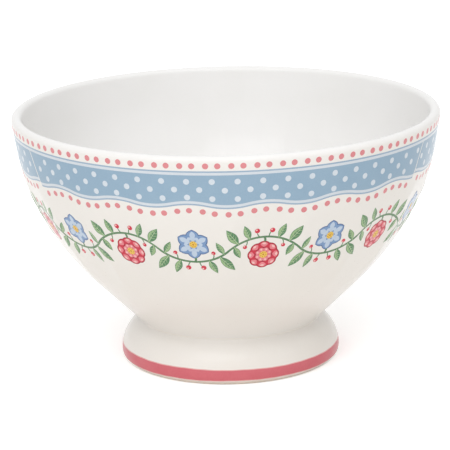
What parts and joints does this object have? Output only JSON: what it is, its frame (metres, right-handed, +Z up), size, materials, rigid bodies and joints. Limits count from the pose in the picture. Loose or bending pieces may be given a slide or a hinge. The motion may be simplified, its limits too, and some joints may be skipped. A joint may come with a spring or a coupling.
{
  "type": "footed bowl",
  "caption": "Footed breakfast bowl in glazed ceramic, with a flared fluted wall, a raised foot ring, a dotted scalloped rim band and a floral garland.",
  "frame": {"origin": "centre of the foot ring's resting face, at the bottom of the bowl", "axes": "+Z up along the bowl's turning axis; -Y is the front, the middle of the front printed transfer"},
  "size_m": [0.1482, 0.1482, 0.0885],
  "materials": {
    "clay": "matte",
    "slip": "matte",
    "glaze": "glossy",
    "band_blue": "glossy",
    "line_blue": "glossy",
    "dot_white": "glossy",
    "dot_pink": "glossy",
    "stripe_pink": "glossy",
    "stem_green": "glossy",
    "leaf_green": "glossy",
    "petal_red": "glossy",
    "petal_rose": "glossy",
    "petal_blue": "glossy",
    "petal_pale_blue": "glossy",
    "eye_yellow": "glossy"
  },
  "bodies": {
    "root": {"bowl_wall": "clay", "foot_ring": "clay", "luting_slip": "slip", "inside_glaze": "glaze", "outside_glaze": "glaze", "foot_glaze": "glaze", "well_glaze": "glaze", "band_front": "band_blue", "band_right": "band_blue", "band_left": "band_blue", "band_dots": "dot_white", "upper_line": "line_blue", "lower_line": "line_blue", "rim_dots": "dot_pink", "scallop_dots": "dot_pink", "garland_stems": "stem_green", "garland_leaves": "leaf_green", "round_petals": "petal_red", "round_hearts": "petal_rose", "star_petals": "petal_blue", "star_hearts": "petal_pale_blue", "blossom_eyes": "eye_yellow", "garland_berries": "petal_red", "foot_stripe": "stripe_pink"}
  },
  "joints": []
}
